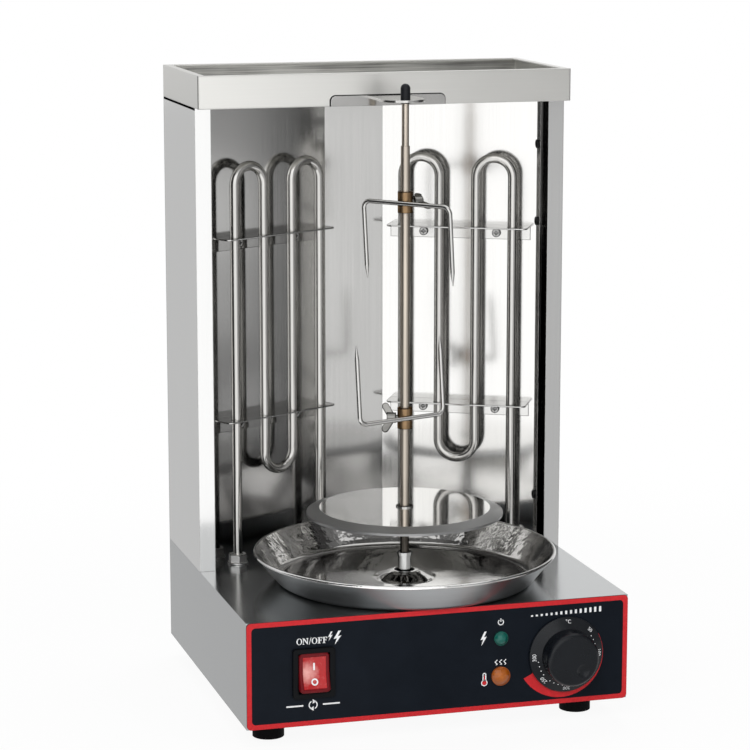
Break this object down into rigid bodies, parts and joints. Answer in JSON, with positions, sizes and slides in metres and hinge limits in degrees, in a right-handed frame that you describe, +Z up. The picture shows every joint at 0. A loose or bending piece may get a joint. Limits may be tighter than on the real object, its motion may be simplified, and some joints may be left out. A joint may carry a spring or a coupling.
{
  "type": "vertical kebab grill",
  "caption": "Free-standing vertical rotisserie grill: a motor-driven upright skewer with forks turns before tube heaters in a steel tower, above a drip pan on a control base.",
  "frame": {"origin": "on the surface the feet stand on, under the middle of the whole outline", "axes": "+Z up, +X to the right seen from the control panel, +Y to the back"},
  "size_m": [0.26, 0.2707, 0.426],
  "materials": {
    "brushed_steel": "satin brushed",
    "mirror_steel": "polished",
    "bright_steel": "bright",
    "zinc": "zinc plated",
    "heater_steel": "drawn tube",
    "panel_print": "printed, satin",
    "black_plastic": "moulded",
    "red_plastic": "translucent",
    "green_lens": "translucent",
    "amber_lens": "translucent",
    "rubber": "moulded",
    "ceramic": "glazed",
    "rod_steel": "heat tinted",
    "brass": "heat tinted",
    "motor_paint": "painted"
  },
  "bodies": {
    "chassis": {"base_shell": "brushed_steel", "bottom_plate": "brushed_steel", "control_panel": "panel_print", "rubber_feet": "rubber", "foot_screws": "zinc", "foot_nuts": "zinc", "left_side_wall": "brushed_steel", "right_side_wall": "brushed_steel", "rear_cover": "brushed_steel", "case_screws": "zinc", "left_reflector": "mirror_steel", "center_reflector": "mirror_steel", "right_reflector": "mirror_steel", "reflector_screws": "zinc", "top_tray": "brushed_steel", "tray_screws": "zinc", "skewer_bracket": "bright_steel", "left_heater": "heater_steel", "right_heater": "heater_steel", "heater_fittings": "zinc", "heater_washers": "zinc", "heater_locknuts": "zinc", "heater_beads": "ceramic", "heater_pins": "zinc", "upper_heater_clips": "bright_steel", "lower_heater_clips": "bright_steel", "clip_screws": "zinc", "switch_body": "black_plastic", "green_lamp_lens": "green_lens", "amber_lamp_lens": "amber_lens", "lamp_barrels": "black_plastic", "lamp_nuts": "black_plastic", "thermostat_body": "zinc", "thermostat_nut": "zinc", "thermostat_bulb": "brass", "motor": "motor_paint", "gearbox": "zinc", "motor_bracket": "brushed_steel", "motor_screws": "zinc", "shaft_bush": "ceramic", "terminal_block": "ceramic", "cable_gland": "black_plastic"},
    "spit_drive": {"motor_shaft": "bright_steel", "drive_coupling": "bright_steel", "coupling_screw": "zinc"},
    "skewer": {"skewer_rod": "rod_steel", "skewer_cap": "black_plastic", "meat_disc": "mirror_steel", "disc_hub": "bright_steel", "disc_nut": "bright_steel"},
    "upper_fork": {"upper_fork": "bright_steel", "upper_collar": "brass"},
    "upper_wing_screw": {"upper_wing_screw": "bright_steel"},
    "lower_fork": {"lower_fork": "bright_steel", "lower_collar": "brass"},
    "lower_wing_screw": {"lower_wing_screw": "bright_steel"},
    "drip_pan": {"drip_pan": "mirror_steel"},
    "rocker": {"switch_rocker": "red_plastic"},
    "knob": {"control_knob": "black_plastic", "thermostat_spindle": "bright_steel"}
  },
  "joints": [
    {"name": "spit_spin", "type": "hinge", "parent": "chassis", "child": "spit_drive", "pos_m": [0, -0.03295, 0.087], "axis": [0, 0, 1], "continuous": true},
    {"name": "skewer_lift", "type": "slide", "parent": "spit_drive", "child": "skewer", "axis": [0, 0, 1], "range_m": [0, 0.02]},
    {"name": "upper_fork_slide", "type": "slide", "parent": "skewer", "child": "upper_fork", "axis": [0, 0, 1], "range_m": [-0.05, 0.025]},
    {"name": "upper_wing_turn", "type": "hinge", "parent": "upper_fork", "child": "upper_wing_screw", "pos_m": [0, -0.03295, 0.3434], "axis": [0.9854, 0.1702, 0], "range_deg": [0, 360]},
    {"name": "lower_fork_slide", "type": "slide", "parent": "skewer", "child": "lower_fork", "axis": [0, 0, 1], "range_m": [-0.035, 0.045]},
    {"name": "lower_wing_turn", "type": "hinge", "parent": "lower_fork", "child": "lower_wing_screw", "pos_m": [0, -0.03295, 0.1978], "axis": [-0.9438, 0.3305, 0], "range_deg": [0, 360]},
    {"name": "drip_pan_lift", "type": "slide", "parent": "chassis", "child": "drip_pan", "axis": [0, 0, 1], "range_m": [0, 0.028]},
    {"name": "rocker_tilt", "type": "hinge", "parent": "chassis", "child": "rocker", "pos_m": [-0.0858, -0.11445, 0.0514], "axis": [1, 0, 0], "range_deg": [0, 18]},
    {"name": "knob_turn", "type": "hinge", "parent": "chassis", "child": "knob", "pos_m": [0.0863, -0.11545, 0.05], "axis": [0, 1, 0], "range_deg": [0, 280]}
  ]
}
